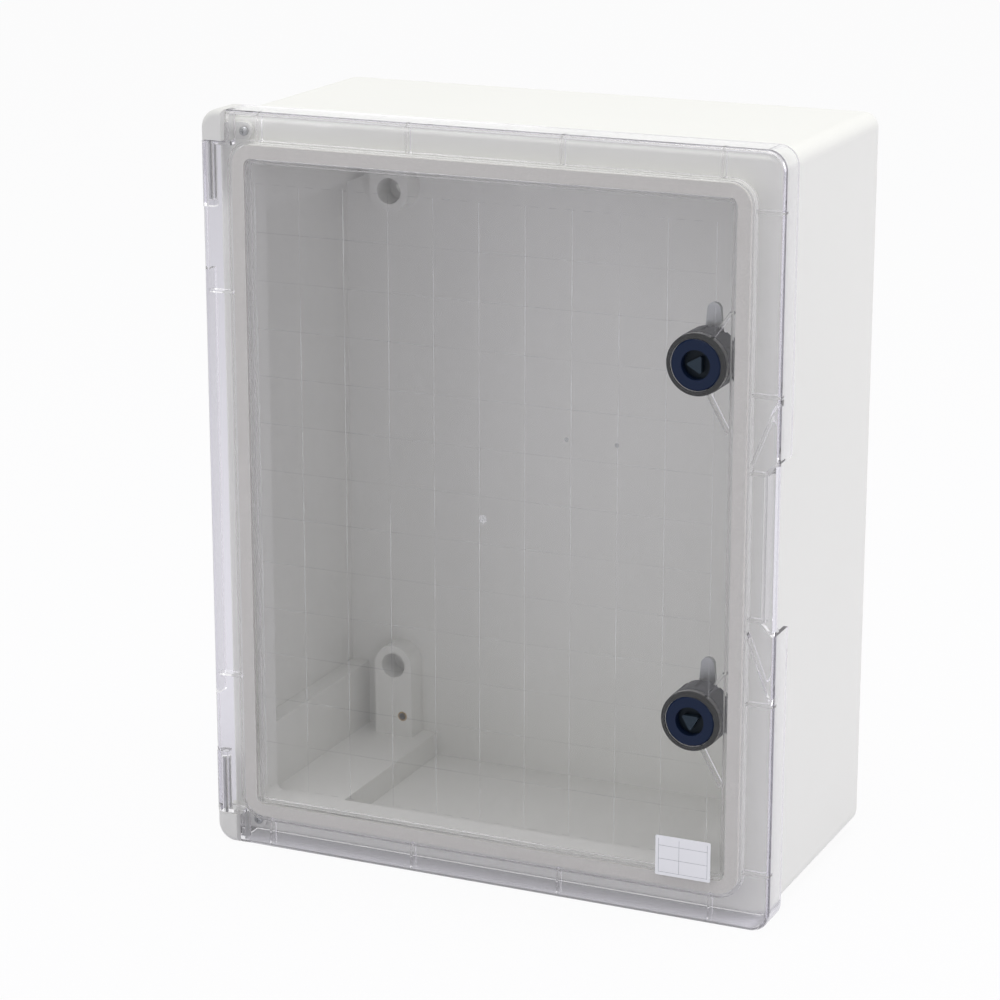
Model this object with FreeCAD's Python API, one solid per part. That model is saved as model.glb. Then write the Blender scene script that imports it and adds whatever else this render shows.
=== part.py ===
import FreeCAD, Part
import math
import os

from FreeCAD import Vector

# Wall-mounted distribution board enclosure: a deep moulded tub, a clear tray-shaped door on two
# corner hinges, and two quarter-turn key locks whose cams hook behind the tub's inner return.
# Frame: +X right and +Z up as seen from the front, +Y towards the wall. The origin is the centre
# of the wall fixing pattern on the back plane. A depth is measured back from the door's front.

# Door
door_width = 396.0
door_height = 500.0
total_depth = 200.0
door_plate = 3.0
door_skirt_wall = 2.8
door_skirt_depth = 25.0
door_corner_radius = 12.5
door_edge_round = 4.0
hinge_skirt_depth = 13.5
hinge_skirt_free = 105.0

# Tub
body_inset = 5.2
body_corner_radius = 10.0
body_wall = 3.5
flange_depth = 16.0
shoulder_round = 4.0
back_round = 7.0
back_wall = 4.0
back_rim_width = 17.0
back_recess = 6.0

# Sealing ridge round the mouth
ridge_inset = 21.5
ridge_width = 9.0
ridge_wall = 3.0
ridge_front = 6.0
ridge_corner_radius = 14.0
ridge_edge_round = 1.6
return_depth = 32.0

# Gasket in the door
gasket_gap = 0.3
gasket_side_gap = 0.2
channel_gap = 0.8
channel_rib = 1.8
channel_rib_depth = 5.5

# Cross ribs between the door's skirt and its gasket channel
cross_rib = 1.6
cross_rib_depth = 6.0
cross_rib_columns = 4
cross_rib_column_inset = 40.5
cross_rib_row_inset_lock_side = 38.0
cross_rib_row_inset_hinge_side = 119.0

# Finger pull in the door's lock side, with a braced bay between cross ribs above and below it
pull_height = 94.0
pull_centre_z = 3.0
pull_inset = 7.0
pull_wall = 2.5
pull_wall_depth = 11.0
pull_cheek_run = 8.0
pull_bay_z = 99.0
pull_brace = 1.4
pull_brace_z = 52.0

# Hinges
hinge_axis_inset = 4.5
hinge_axis_depth = 7.5
hinge_block_width = 17.3
hinge_block_height = 20.0
hinge_gap = 0.6
knuckle_radius = 4.0
knuckle_length = 43.0
pin_radius = 2.0
pin_running_gap = 0.1
pin_in_block = 15.0
pin_in_knuckle = 38.0
notch_wall = 2.4
notch_wall_depth = 11.5
hinge_foot_length = 14.0
hinge_foot_width = 11.0
hinge_foot = 3.0
hinge_foot_round = 5.0
hinge_screw_radius = 1.75
hinge_screw_head_radius = 3.1
hinge_screw_head = 2.0
body_seat_gap = 0.15

# Corner bosses, wall fixing and mounting plate inserts
fixing_spacing_x = 296.0
fixing_spacing_z = 343.0
fixing_hole_radius = 4.0
fixing_recess_radius = 9.0
fixing_floor = 8.0
boss_half_width = 14.5
boss_height = 18.0
insert_spacing_x = 282.0
insert_spacing_z = 418.0
insert_outer_radius = 3.5
insert_bore_radius = 2.5
insert_length = 12.0

# Corner pads inside the tub
pad_wall = 3.0
floor_pad_inset = 26.0
floor_pad_end = 76.0
side_pad_inset = 22.0
side_pad_end = 73.0

# Locks
lock_inset = 55.0
lock_spacing = 230.0
lock_head_radius = 16.25
lock_head_back = 3.5
lock_head_front = 0.3
lock_head_gap = 0.3
lock_head_bevel = 0.8
collar_radius = 19.75
collar_floor = 4.0
collar_depth = 8.0
barrel_radius = 12.0
barrel_gap = 0.2
barrel_end = 29.0
barrel_floor = 4.0
rotor_bore_radius = 9.5
rotor_gap = 0.1
rotor_front = 6.5
key_front = 1.2
key_side = 12.0
key_round = 1.0
spindle_radius = 6.0
spindle_square = 8.0
cam_gap = 0.4
cam_thickness = 3.0
cam_reach = 33.0
cam_half_width = 7.0
cam_tip_radius = 4.5
cam_washer_radius = 7.0
cam_washer = 1.0
cam_screw_radius = 2.0
cam_screw_flats = 7.0
cam_screw_head = 2.8
cam_screw_length = 12.0
nut_radius = 20.0
nut_end = 27.0
nut_wall = 2.6
nut_floor = 4.0
nut_bevel = 1.0
nut_flutes = 12
nut_flute_radius = 1.3
head_seal_radius = 14.2
head_seal_section = 1.7
rotor_seal_section = 1.6
rotor_seal_back = 10.0
groove_gap = 0.1
gusset = 1.6
gusset_depth = 5.0
gusset_upper = ((8.5, 15.7), (21.5, 34.2))
gusset_lower = ((7.7, -18.2), (20.7, -41.3))

# Rating label
label_width = 37.5
label_height = 27.0
label_thickness = 0.2
label_right_inset = 39.0
label_bottom_inset = 29.0
label_corner_radius = 1.0

# Places that follow from the sizes above
left = -door_width / 2
right = door_width / 2
bottom = -door_height / 2
top = door_height / 2
ridge_inner_inset = ridge_inset + ridge_width
flange_back = flange_depth + body_wall
cavity_back = total_depth - back_recess - back_wall
cavity_inset = body_inset + body_wall
boss_front = cavity_back - boss_height
hinge_x = left + hinge_axis_inset
notch_x = left + hinge_block_width + hinge_gap
block_bottom = top - hinge_block_height
door_notch_z = block_bottom - hinge_gap
sweep_radius = hinge_block_width - hinge_axis_inset
hinge_foot_end = left + hinge_block_width + hinge_foot_length
hinge_screw_x = hinge_foot_end - hinge_foot_width / 2
hinge_screw_z = block_bottom + hinge_foot_width / 2
cam_front = return_depth + cam_gap
lock_x = right - lock_inset
lock_rows = {"upper": lock_spacing / 2, "lower": -lock_spacing / 2}
key_turn = {"upper": 180.0, "lower": 270.0}
margin = 1.0


def y_at(depth):
    return depth - total_depth


def block(x0, x1, depth0, depth1, z0, z1):
    return Part.makeBox(x1 - x0, depth1 - depth0, z1 - z0, Vector(x0, y_at(depth0), z0))


def rod(x, z, radius, depth0, depth1):
    """A cylinder along the depth."""
    return Part.makeCylinder(radius, depth1 - depth0, Vector(x, y_at(depth0), z), Vector(0, 1, 0))


def post(x, depth, radius, z0, z1):
    """A cylinder along the height."""
    return Part.makeCylinder(radius, z1 - z0, Vector(x, y_at(depth), z0), Vector(0, 0, 1))


def rounded_wire(x0, x1, z0, z1, radius, depth):
    """A rectangle with round corners, facing the front."""
    y = y_at(depth)
    centres = ((x1 - radius, z1 - radius, 0), (x0 + radius, z1 - radius, 90),
               (x0 + radius, z0 + radius, 180), (x1 - radius, z0 + radius, 270))
    arcs = []
    for cx, cz, start in centres:
        points = []
        for turn in (0, 45, 90):
            angle = math.radians(start + turn)
            points.append(Vector(cx + radius * math.cos(angle), y, cz + radius * math.sin(angle)))
        arcs.append((points, Part.Arc(*points).toShape()))
    edges = []
    for index, (points, arc) in enumerate(arcs):
        following = arcs[(index + 1) % len(arcs)][0]
        edges.append(arc)
        edges.append(Part.LineSegment(points[2], following[0]).toShape())
    return Part.Wire(edges)


def rounded_plate(x0, x1, z0, z1, radius, depth0, depth1):
    face = Part.Face(rounded_wire(x0, x1, z0, z1, radius, depth0))
    return face.extrude(Vector(0, depth1 - depth0, 0))


def inset_plate(inset, radius, depth0, depth1):
    """A plate with the door's outline, drawn in by an inset."""
    return rounded_plate(left + inset, right - inset, bottom + inset, top - inset,
                         radius, depth0, depth1)


def inset_ring(outer, inner, outer_radius, depth0, depth1):
    inner_radius = outer_radius - (inner - outer)
    hole = inset_plate(inner, inner_radius, depth0 - margin, depth1 + margin)
    return inset_plate(outer, outer_radius, depth0, depth1).cut(hole)


def edges_at(shape, depth):
    """The edges that lie wholly in the plane at one depth."""
    y = y_at(depth)
    return [edge for edge in shape.Edges
            if abs(edge.BoundBox.YMin - y) < 0.001 and abs(edge.BoundBox.YMax - y) < 0.001]


def fused(shapes):
    return shapes[0].multiFuse(shapes[1:]).removeSplitter()


def flip_x(shape):
    return shape.mirror(Vector(0, 0, 0), Vector(1, 0, 0))


def flip_z(shape):
    return shape.mirror(Vector(0, 0, 0), Vector(0, 0, 1))


def four_corners(shape):
    """Copies of one lower left feature in all four corners."""
    lower = [shape, flip_x(shape)]
    return lower + [flip_z(each) for each in lower]


def save(name, shape):
    shape.exportStep("parts/" + name + ".step")


def body_outline():
    """The tub's outer form, with its round shoulder and round back edge."""
    outer = inset_plate(body_inset, body_corner_radius, flange_depth, total_depth)
    outer = outer.makeFillet(shoulder_round, edges_at(outer, flange_depth))
    return outer.makeFillet(back_round, edges_at(outer, total_depth))


def boss_strip(depth0, depth1, grow=0.0):
    """The upright corner strip that holds one fixing hole and one insert."""
    x = -fixing_spacing_x / 2
    z = -fixing_spacing_z / 2
    half = boss_half_width + grow
    strip = block(x - half, x + half, depth0, depth1, bottom + cavity_inset - body_wall / 2, z)
    return strip.fuse(rod(x, z, half, depth0, depth1))


def corner_pad(inset, into_wall, depth0, depth1):
    """The L-shaped pad in one lower corner, its faces drawn in by an inset."""
    foot = block(left, left + floor_pad_end - inset, depth0, depth1,
                 bottom, bottom + floor_pad_inset - inset)
    side = block(left, left + side_pad_inset - inset, depth0, depth1,
                 bottom, bottom + side_pad_end - inset)
    room = inset_plate(cavity_inset - into_wall, body_corner_radius - body_wall + into_wall,
                       depth0, depth1)
    return foot.fuse(side).common(room)


def make_body():
    ridge = inset_plate(ridge_inset, ridge_corner_radius, ridge_front, flange_back)
    ridge = ridge.makeFillet(ridge_edge_round, edges_at(ridge, ridge_front))
    body = body_outline().fuse(ridge)

    mouth_radius = ridge_corner_radius - ridge_width
    leg_radius = mouth_radius + ridge_wall
    cavity = inset_plate(cavity_inset, body_corner_radius - body_wall, flange_back, cavity_back)
    mouth = inset_plate(ridge_inner_inset, mouth_radius, ridge_front - margin, flange_back + margin)
    groove = inset_ring(ridge_inset + ridge_wall, ridge_inner_inset - ridge_wall,
                        ridge_corner_radius - ridge_wall, ridge_front + ridge_wall,
                        flange_back + margin)
    body = body.cut(cavity).cut(mouth).cut(groove)

    leg = inset_ring(ridge_inner_inset - ridge_wall, ridge_inner_inset, leg_radius,
                     ridge_front + ridge_wall, return_depth)
    pad_front = return_depth + margin
    pads = four_corners(corner_pad(0.0, body_wall / 2, pad_front, cavity_back))
    strips = four_corners(boss_strip(boss_front, cavity_back))
    body = fused([body, leg] + pads + strips)

    recess = inset_plate(back_rim_width + body_inset, body_corner_radius,
                         total_depth - back_recess, total_depth + margin)
    for strip in four_corners(boss_strip(total_depth - back_recess, total_depth + margin)):
        recess = recess.cut(strip)

    fixing_x = -fixing_spacing_x / 2
    fixing_z = -fixing_spacing_z / 2
    counterbore = rod(fixing_x, fixing_z, fixing_recess_radius,
                      boss_front - margin, total_depth - fixing_floor)
    bolt_hole = rod(fixing_x, fixing_z, fixing_hole_radius, boss_front, total_depth + margin)
    insert_hole = rod(-insert_spacing_x / 2, -insert_spacing_z / 2, insert_outer_radius,
                      boss_front - margin, boss_front + insert_length)
    core = corner_pad(pad_wall, 0.0, pad_front - margin, boss_front - pad_wall)
    cuts = [recess]
    for feature in (counterbore, bolt_hole, insert_hole, core):
        cuts += four_corners(feature)

    screw_hole = rod(hinge_screw_x, hinge_screw_z, hinge_screw_radius,
                     flange_depth - margin, flange_back)
    cuts += [screw_hole, flip_z(screw_hole)]
    for cut in cuts:
        body = body.cut(cut)
    return body.removeSplitter()


def door_outline():
    """The door's outer form as one solid, with its round front edge."""
    outer = inset_plate(0.0, door_corner_radius, 0.0, door_skirt_depth)
    return outer.makeFillet(door_edge_round, edges_at(outer, 0.0))


def make_knuckle():
    """The door's upper hinge knuckle with the web that carries it."""
    low = door_notch_z - knuckle_length
    barrel = post(hinge_x, hinge_axis_depth, knuckle_radius, low, door_notch_z)
    web = block(hinge_x - knuckle_radius, hinge_x + knuckle_radius, door_plate / 2,
                hinge_axis_depth, low, door_notch_z)
    return barrel.fuse(web)


def prism(points, depth0, depth1):
    """A straight-sided solid with its outline facing the front."""
    corners = [Vector(x, y_at(depth0), z) for x, z in points]
    outline = Part.makePolygon(corners + corners[:1])
    return Part.Face(outline).extrude(Vector(0, depth1 - depth0, 0))


def polygon(x, z, radius, sides, turn):
    """The corners of a regular polygon about a point, the first one at an angle in degrees."""
    angles = [math.radians(turn + 360 * side / sides) for side in range(sides)]
    return [(x + radius * math.cos(angle), z + radius * math.sin(angle)) for angle in angles]


def thin_rib(start, end, thickness, height):
    """A straight rib on the door's inner face, between two places on it."""
    length = math.hypot(end[0] - start[0], end[1] - start[1])
    across_x = (end[1] - start[1]) / length * thickness / 2
    across_z = -(end[0] - start[0]) / length * thickness / 2
    points = [(start[0] + across_x, start[1] + across_z), (end[0] + across_x, end[1] + across_z),
              (end[0] - across_x, end[1] - across_z), (start[0] - across_x, start[1] - across_z)]
    return prism(points, door_plate / 2, door_plate + height)


def make_cross_ribs():
    outer = door_skirt_wall / 2
    inner = ridge_inset - channel_gap - channel_rib / 2
    depth0 = door_plate / 2
    depth1 = door_plate + cross_rib_depth
    half = cross_rib / 2
    ribs = []
    first = left + cross_rib_column_inset
    pitch = (door_width - 2 * cross_rib_column_inset) / (cross_rib_columns - 1)
    for column in range(cross_rib_columns):
        x = first + column * pitch
        ribs.append(block(x - half, x + half, depth0, depth1, bottom + outer, bottom + inner))
    for z in (bottom + cross_rib_row_inset_lock_side, -pull_bay_z):
        ribs.append(block(right - inner, right - outer, depth0, depth1, z - half, z + half))
    ribs.append(thin_rib((right - outer, -pull_bay_z), (right - inner, -pull_brace_z),
                         pull_brace, cross_rib_depth))
    z = bottom + cross_rib_row_inset_hinge_side
    ribs.append(block(left + outer, left + inner, depth0, depth1, z - half, z + half))
    return ribs + [flip_z(rib) for rib in ribs]


def make_pull():
    """The wall of the finger pull, with its two sloped cheeks and a rib from each end to the channel."""
    outer = right - door_skirt_wall / 2
    inner = right - pull_inset
    low = pull_centre_z - pull_height / 2
    high = pull_centre_z + pull_height / 2
    channel = right - ridge_inset + channel_gap + channel_rib / 2
    points = [(outer, low - pull_cheek_run), (inner, low), (inner, high), (outer, high + pull_cheek_run),
              (outer, high + pull_cheek_run + pull_wall), (inner - pull_wall, high + pull_wall / 2),
              (inner - pull_wall, low - pull_wall / 2), (outer, low - pull_cheek_run - pull_wall)]
    pull = prism(points, door_plate / 2, door_plate + pull_wall_depth)
    for z in (low, high):
        pull = pull.fuse(thin_rib((channel, z), (inner - pull_wall / 2, z), cross_rib, cross_rib_depth))
    return pull


def gusset_rib(lock_z, start, end):
    """A thin rib from the lock's collar towards the gasket channel."""
    return thin_rib((lock_x + start[0], lock_z + start[1]), (lock_x + end[0], lock_z + end[1]),
                    gusset, gusset_depth)


def make_door():
    door = door_outline()
    hollow = inset_plate(door_skirt_wall, door_corner_radius - door_skirt_wall,
                         door_plate, door_skirt_depth + margin)
    door = door.cut(hollow)

    skirt_in = left + door_skirt_wall + margin / 2
    hinge_side = block(left - margin, skirt_in, hinge_skirt_depth, door_skirt_depth + margin, bottom, top)
    above = block(left - margin, skirt_in, door_plate + margin, door_skirt_depth,
                  top - hinge_skirt_free, top)
    low = pull_centre_z - pull_height / 2 - pull_cheek_run
    high = pull_centre_z + pull_height / 2 + pull_cheek_run
    pull_gap = block(right - door_skirt_wall - margin, right + margin, door_edge_round + margin,
                     door_skirt_depth + margin, low, high)
    for cut in (hinge_side, above, flip_z(above), pull_gap):
        door = door.cut(cut)

    rib_back = door_plate + channel_rib_depth
    outer_face = ridge_inset - channel_gap
    inner_face = ridge_inner_inset + channel_gap
    rim_radius = ridge_corner_radius + channel_gap + channel_rib
    outer_rib = inset_ring(outer_face - channel_rib, outer_face, rim_radius, door_plate / 2, rib_back)
    inner_rib = inset_ring(inner_face, inner_face + channel_rib,
                           ridge_corner_radius - ridge_width - channel_gap, door_plate / 2, rib_back)
    across = block(left + door_skirt_wall / 2, notch_x + notch_wall, door_plate / 2, notch_wall_depth,
                   door_notch_z - notch_wall, door_notch_z)
    upright = block(notch_x, notch_x + notch_wall, door_plate / 2, notch_wall_depth,
                    door_notch_z - notch_wall, top - door_skirt_wall / 2)
    pieces = [door, outer_rib, inner_rib, make_pull()] + make_cross_ribs()
    for piece in (make_knuckle(), across, upright):
        pieces += [piece, flip_z(piece)]
    for z in lock_rows.values():
        pieces.append(rod(lock_x, z, collar_radius, 0.0, collar_depth))
        pieces.append(gusset_rib(z, *gusset_upper))
        pieces.append(gusset_rib(z, *gusset_lower))
    door = fused(pieces)

    notch = block(left - margin, notch_x, -margin, door_skirt_depth + margin, door_notch_z, top + margin)
    bore = post(hinge_x, hinge_axis_depth, pin_radius + pin_running_gap,
                door_notch_z - pin_in_knuckle - margin, door_notch_z + margin)
    for cut in (notch, flip_z(notch), bore, flip_z(bore)):
        door = door.cut(cut)
    for z in lock_rows.values():
        door = door.cut(rod(lock_x, z, lock_head_radius + lock_head_gap, -margin, collar_floor))
        door = door.cut(rod(lock_x, z, barrel_radius + barrel_gap, collar_floor - margin,
                            collar_depth + margin))
    return door.removeSplitter()


def make_gasket():
    inset = ridge_inset + gasket_side_gap
    inner = ridge_inner_inset - gasket_side_gap
    return inset_ring(inset, inner, ridge_corner_radius - gasket_side_gap,
                      door_plate, ridge_front - gasket_gap)


def make_hinge_block():
    """The upper corner block, round about the hinge axis where the door sweeps past it."""
    corner = door_outline().common(block(left - margin, left + hinge_block_width, -margin,
                                         door_skirt_depth + margin, block_bottom, top + margin))
    sweep = post(hinge_x, hinge_axis_depth, sweep_radius, block_bottom - margin, top + margin)
    behind = block(left - margin, left + hinge_block_width + margin, hinge_axis_depth,
                   door_skirt_depth + margin, block_bottom - margin, top + margin)
    corner = corner.common(sweep.fuse(behind))
    corner = corner.cut(inset_plate(body_inset - body_seat_gap, body_corner_radius + body_seat_gap,
                                    flange_depth, total_depth))
    foot = rounded_plate(left + body_inset + body_corner_radius, hinge_foot_end, block_bottom,
                         block_bottom + hinge_foot_width, hinge_foot_round,
                         flange_depth - hinge_foot, flange_depth)
    shape = corner.fuse(foot)
    shape = shape.cut(post(hinge_x, hinge_axis_depth, pin_radius, block_bottom - margin,
                           block_bottom + pin_in_block))
    return shape.cut(rod(hinge_screw_x, hinge_screw_z, hinge_screw_radius,
                         flange_depth - hinge_foot - margin, flange_depth + margin)).removeSplitter()


def make_hinge_screw():
    head_back = flange_depth - hinge_foot
    head = rod(hinge_screw_x, hinge_screw_z, hinge_screw_head_radius, head_back - hinge_screw_head, head_back)
    head = head.makeChamfer(hinge_screw_head / 2, edges_at(head, head_back - hinge_screw_head))
    shank = rod(hinge_screw_x, hinge_screw_z, hinge_screw_radius, head_back, flange_back)
    return head.fuse(shank).removeSplitter()


def make_hinge_pin():
    return post(hinge_x, hinge_axis_depth, pin_radius, door_notch_z - pin_in_knuckle,
                block_bottom + pin_in_block)


def make_insert():
    x = -insert_spacing_x / 2
    z = -insert_spacing_z / 2
    bush = rod(x, z, insert_outer_radius, boss_front, boss_front + insert_length)
    return bush.cut(rod(x, z, insert_bore_radius, boss_front - margin, boss_front + insert_length + margin))


def turned(x, z, profile):
    """A turned piece about a lock's axis, from its (radius, depth) outline."""
    corners = [Vector(x + radius, y_at(depth), z) for radius, depth in profile]
    face = Part.Face(Part.makePolygon(corners + corners[:1]))
    return face.revolve(Vector(x, 0, z), Vector(0, 1, 0), 360)


def seal_ring(z, radius, depth, section):
    """A square-cut rubber ring about a lock's axis."""
    half = section / 2
    return turned(lock_x, z, [(radius - half, depth - half), (radius + half, depth - half),
                              (radius + half, depth + half), (radius - half, depth + half)])


def make_housing(z):
    head_groove_in = head_seal_radius - head_seal_section / 2 - groove_gap
    head_groove_out = head_seal_radius + head_seal_section / 2 + groove_gap
    head_groove = collar_floor - head_seal_section - groove_gap
    profile = [(rotor_bore_radius, lock_head_front),
               (lock_head_radius - lock_head_bevel, lock_head_front),
               (lock_head_radius, lock_head_front + lock_head_bevel),
               (lock_head_radius, lock_head_back), (head_groove_out, lock_head_back),
               (head_groove_out, head_groove), (head_groove_in, head_groove),
               (head_groove_in, lock_head_back), (barrel_radius, lock_head_back),
               (barrel_radius, barrel_end), (spindle_radius + rotor_gap, barrel_end),
               (spindle_radius + rotor_gap, barrel_end - barrel_floor),
               (rotor_bore_radius, barrel_end - barrel_floor)]
    return turned(lock_x, z, profile)


def make_rotor(z, turn):
    """The turning core: a triangular key post on a disc, then a spindle with a square end."""
    disc_back = barrel_end - barrel_floor - rotor_gap
    radius = rotor_bore_radius - rotor_gap
    groove = radius - rotor_seal_section - groove_gap
    groove_front = rotor_front + rotor_seal_back - rotor_seal_section / 2 - groove_gap
    groove_back = rotor_front + rotor_seal_back + rotor_seal_section / 2 + groove_gap
    profile = [(0.0, rotor_front), (radius, rotor_front), (radius, groove_front),
               (groove, groove_front), (groove, groove_back), (radius, groove_back),
               (radius, disc_back), (spindle_radius, disc_back), (spindle_radius, cam_front),
               (0.0, cam_front)]
    core = turned(lock_x, z, profile)
    key = prism(polygon(lock_x, z, key_side / math.sqrt(3.0), 3, turn), key_front, rotor_front + margin)
    upright = [edge for edge in key.Edges if edge.BoundBox.YLength > margin]
    key = key.makeFillet(key_round, upright)
    half = spindle_square / 2
    square = block(lock_x - half, lock_x + half, cam_front - margin, cam_front + cam_thickness,
                   z - half, z + half)
    rotor = fused([core, key, square])
    back = cam_front + cam_thickness
    return rotor.cut(rod(lock_x, z, cam_screw_radius, back - cam_screw_length, back + margin))


def make_cam(z):
    """The cam plate: a round eye on the spindle and an arm that ends in a round tip."""
    back = cam_front + cam_thickness
    tip_z = z + cam_reach - cam_tip_radius
    eye = rod(lock_x, z, cam_half_width, cam_front, back)
    tip = rod(lock_x, tip_z, cam_tip_radius, cam_front, back)
    arm = prism([(lock_x - cam_half_width, z), (lock_x + cam_half_width, z),
                 (lock_x + cam_tip_radius, tip_z), (lock_x - cam_tip_radius, tip_z)], cam_front, back)
    half = spindle_square / 2
    eye_hole = block(lock_x - half, lock_x + half, cam_front - margin, back + margin, z - half, z + half)
    return fused([eye, arm, tip]).cut(eye_hole)


def make_nut(z):
    """The nut that clamps the lock to the door: a sleeve and a wide fluted skirt on one floor."""
    profile = [(barrel_radius, collar_depth), (nut_radius, collar_depth),
               (nut_radius, nut_end - nut_bevel), (nut_radius - nut_bevel, nut_end),
               (nut_radius - nut_wall, nut_end), (nut_radius - nut_wall, collar_depth + nut_floor),
               (barrel_radius + nut_wall, collar_depth + nut_floor), (barrel_radius + nut_wall, nut_end),
               (barrel_radius, nut_end)]
    nut = turned(lock_x, z, profile)
    for flute in range(nut_flutes):
        angle = 2 * math.pi * flute / nut_flutes
        nut = nut.cut(rod(lock_x + nut_radius * math.cos(angle), z + nut_radius * math.sin(angle),
                          nut_flute_radius, collar_depth + nut_floor, nut_end + margin))
    return nut


def make_cam_fasteners(z):
    washer_front = cam_front + cam_thickness
    washer_back = washer_front + cam_washer
    washer = rod(lock_x, z, cam_washer_radius, washer_front, washer_back)
    washer = washer.cut(rod(lock_x, z, cam_screw_radius, washer_front - margin, washer_back + margin))
    corner_radius = cam_screw_flats / math.sqrt(3.0)
    head = prism(polygon(lock_x, z, corner_radius, 6, 0.0), washer_back, washer_back + cam_screw_head)
    shank = rod(lock_x, z, cam_screw_radius, washer_front - cam_screw_length + margin, washer_back)
    return washer, head.fuse(shank).removeSplitter()


def make_label():
    x1 = right - label_right_inset
    z0 = bottom + label_bottom_inset
    return rounded_plate(x1 - label_width, x1, z0, z0 + label_height, label_corner_radius,
                         -label_thickness, 0.0)


def save_lock(side):
    z = lock_rows[side]
    washer, screw = make_cam_fasteners(z)
    rotor_seal_depth = rotor_front + rotor_seal_back
    rotor_seal_radius = rotor_bore_radius - groove_gap - rotor_seal_section / 2
    save(side + "_lock_housing", make_housing(z))
    save(side + "_lock_head_seal", seal_ring(z, head_seal_radius,
                                             collar_floor - head_seal_section / 2, head_seal_section))
    save(side + "_lock_nut", make_nut(z))
    save(side + "_lock_rotor", make_rotor(z, key_turn[side]))
    save(side + "_lock_rotor_seal", seal_ring(z, rotor_seal_radius, rotor_seal_depth,
                                              rotor_seal_section))
    save(side + "_lock_cam", make_cam(z))
    save(side + "_lock_cam_washer", washer)
    save(side + "_lock_cam_screw", screw)


def main():
    os.makedirs("parts", exist_ok=True)
    save("body_shell", make_body())
    hinge_block = make_hinge_block()
    hinge_pin = make_hinge_pin()
    hinge_screw = make_hinge_screw()
    save("hinge_block_top", hinge_block)
    save("hinge_block_bottom", flip_z(hinge_block))
    save("hinge_block_screws", Part.makeCompound([hinge_screw, flip_z(hinge_screw)]))
    save("hinge_pin_top", hinge_pin)
    save("hinge_pin_bottom", flip_z(hinge_pin))
    save("plate_inserts", Part.makeCompound(four_corners(make_insert())))
    save("door_panel", make_door())
    save("door_gasket", make_gasket())
    save("rating_label", make_label())
    for side in lock_rows:
        save_lock(side)


main()
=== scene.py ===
"""Looks of a wall-mounted distribution board enclosure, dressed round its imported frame.

One operator dresses or builds each piece or group of like pieces, and one sets the stage. Lengths
are in metres, colours are sRGB hex values, and patterns are scaled from sizes in millimetres.
"""
import math

import bmesh
import bpy
from bpy.props import FloatProperty, FloatVectorProperty, IntProperty, PointerProperty
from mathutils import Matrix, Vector


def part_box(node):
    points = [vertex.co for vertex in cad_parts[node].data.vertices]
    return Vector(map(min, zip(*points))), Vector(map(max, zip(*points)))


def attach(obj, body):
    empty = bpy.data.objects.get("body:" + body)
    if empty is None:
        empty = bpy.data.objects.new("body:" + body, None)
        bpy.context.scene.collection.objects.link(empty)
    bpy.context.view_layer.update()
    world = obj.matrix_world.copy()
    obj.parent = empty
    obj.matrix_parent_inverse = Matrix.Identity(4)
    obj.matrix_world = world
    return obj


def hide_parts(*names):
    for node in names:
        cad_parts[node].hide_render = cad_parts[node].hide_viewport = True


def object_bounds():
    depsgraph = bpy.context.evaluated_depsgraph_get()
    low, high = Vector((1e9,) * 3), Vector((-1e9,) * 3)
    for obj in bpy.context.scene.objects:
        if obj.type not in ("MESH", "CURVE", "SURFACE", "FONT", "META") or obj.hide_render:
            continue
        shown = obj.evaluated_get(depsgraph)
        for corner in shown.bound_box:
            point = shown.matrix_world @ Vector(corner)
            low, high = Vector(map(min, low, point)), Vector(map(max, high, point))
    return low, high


bl_info = {
    "name": "Distribution Board Enclosure",
    "version": (1, 0, 0),
    "blender": (4, 5, 0),
    "location": "3D View > Sidebar > Enclosure",
    "description": "Dresses a clear-doored distribution board enclosure and sets its studio",
    "category": "Object",
}

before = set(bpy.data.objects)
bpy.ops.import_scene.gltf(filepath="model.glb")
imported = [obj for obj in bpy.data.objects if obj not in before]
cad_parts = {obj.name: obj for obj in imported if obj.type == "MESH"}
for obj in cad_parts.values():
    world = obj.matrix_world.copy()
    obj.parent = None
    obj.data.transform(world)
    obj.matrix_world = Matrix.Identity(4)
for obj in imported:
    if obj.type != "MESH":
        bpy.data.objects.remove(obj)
cad_low, cad_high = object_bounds()

MM = 0.001
TOWARDS_FRONT = Vector((0.0, -1.0, 0.0))
INTO_TUB = -TOWARDS_FRONT

# Sockets of a colour Mix node, which share their names with its number and vector sockets
FACTOR, FIRST_COLOUR, SECOND_COLOUR, MIXED = 0, 6, 7, 2

LOCK_SIDES = ("upper", "lower")
door_low, door_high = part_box("door_panel")
DOOR_INNER_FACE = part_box("door_gasket")[0].y  # the gasket lies on the plate's inner face
AIR_GAP = 0.03 * MM  # keeps a thin relief from sharing a face with the clear plate

# Relief on the clear plate, as shares of a line's or a mark's own width and height
LINE_TOP = 0.6
CROSS_LINE_HEIGHT = 0.8  # lower than an upright, so that they share no face where they cross
GATE_MARK = ((1.0, 0.0), (0.9, 0.5), (0.5, 1.0), (0.2, 0.6))
EJECTOR_MARK = ((1.0, 0.0), (0.8, 1.0))

# A hinge screw's pan head and the cross recess in it, as shares of the head's radius and height
# and of the recess's reach
PAN_HEAD = ((1.0, 0.0), (1.0, 0.35), (0.93, 0.65), (0.76, 0.88), (0.5, 1.0))
RECESS_STEPS = ((1.1, 1.0), (0.3, 0.45))

# Where each soft lamp stands, and the width of its square face
LAMPS = {
    "key": ((-1.6, -2.0, 0.6), 1.6),
    "top": ((0.2, -0.5, 3.0), 2.0),
    "side": ((2.6, 0.5, 0.7), 1.8),
}

# A ray crosses many faces of the clear door, its ribs and its skirt before it leaves them
LIGHT_BOUNCES = 24
CLEAR_LAYERS = 32

SENSOR_WIDTH = 36.0  # millimetres, as Blender's camera takes it


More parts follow.
